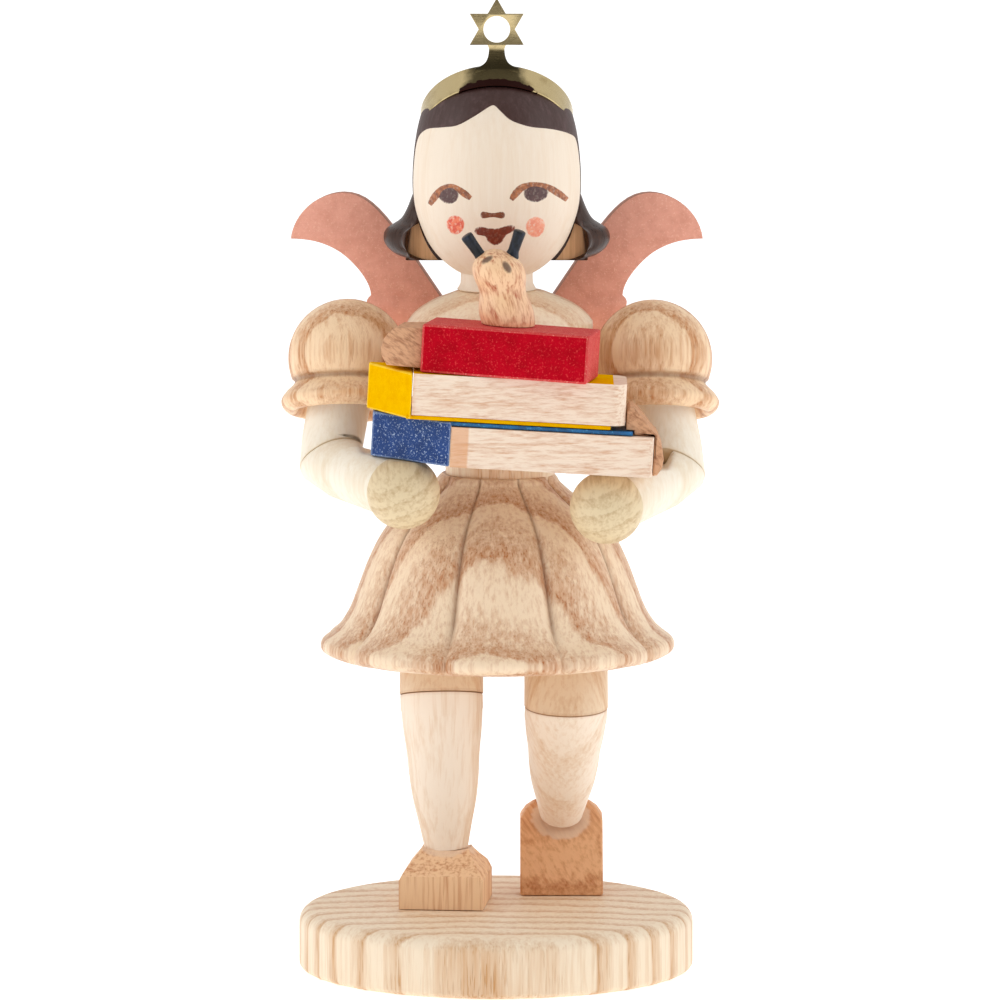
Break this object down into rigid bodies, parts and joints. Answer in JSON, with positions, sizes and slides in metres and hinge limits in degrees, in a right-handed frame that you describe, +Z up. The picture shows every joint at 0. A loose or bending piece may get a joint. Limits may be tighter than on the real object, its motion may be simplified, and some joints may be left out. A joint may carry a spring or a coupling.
{
  "type": "carved wooden figurine",
  "caption": "Turned and carved wooden angel on a round base, one foot raised on its toe, carrying a stack of painted books with a bookworm on top.",
  "frame": {"origin": "centre of the base disc's flat underside", "axes": "+Z up; the figure faces -Y; +X is the figure's left"},
  "size_m": [0.0298, 0.0282, 0.0661],
  "materials": {
    "base_ash": "fine parallel ash grain, sanded, clear matt",
    "shoe_beech": "warm orange-brown wood, fine grain, sanded",
    "leg_lime": "pale turned wood, satin",
    "dowel": "unfinished",
    "ash": "ash with orange-brown figure, clear satin",
    "face_maple": "near-white maple, satin, painted features and hair",
    "arm_maple": "near-white maple, satin",
    "hair": "dark brown gloss paint, bare cut face in front",
    "brass": "polished stamped brass",
    "copper_wood": "copper-pink lacquered plywood, fine speckle",
    "book_blue": "blue speckled paint",
    "book_yellow": "yellow speckled paint",
    "book_red": "red speckled paint",
    "pages": "bare long-grain wood",
    "end_grain": "bare end-grain wood",
    "worm": "peach streaked wood, satin",
    "feeler": "blue-black gloss paint"
  },
  "bodies": {
    "root": {"base_disc": "base_ash", "shoe_r": "shoe_beech", "shoe_l": "shoe_beech", "shoe_peg_r": "dowel", "shoe_peg_l": "dowel", "lower_leg_r": "leg_lime", "lower_leg_l": "leg_lime", "thigh_r": "leg_lime", "thigh_l": "leg_lime", "skirt": "ash", "waist_dowel": "dowel", "torso": "ash", "shoulder_dowel_r": "dowel", "shoulder_dowel_l": "dowel", "neck": "face_maple", "head": "face_maple", "hair_flip": "hair", "crown": "brass", "wing_r": "copper_wood", "wing_l": "copper_wood", "sleeve_r": "ash", "sleeve_l": "ash", "upper_arm_r": "arm_maple", "upper_arm_l": "arm_maple", "forearm_r": "arm_maple", "forearm_l": "arm_maple", "hand_r": "arm_maple", "hand_l": "arm_maple", "book_blue_cover": "book_blue", "book_blue_pages": "pages", "book_yellow_cover": "book_yellow", "book_yellow_pages": "pages", "book_red_cover": "book_red", "book_red_pages": "end_grain", "book_end_block": "end_grain", "worm_body": "worm", "worm_feeler_r": "feeler", "worm_feeler_l": "feeler"}
  },
  "joints": []
}
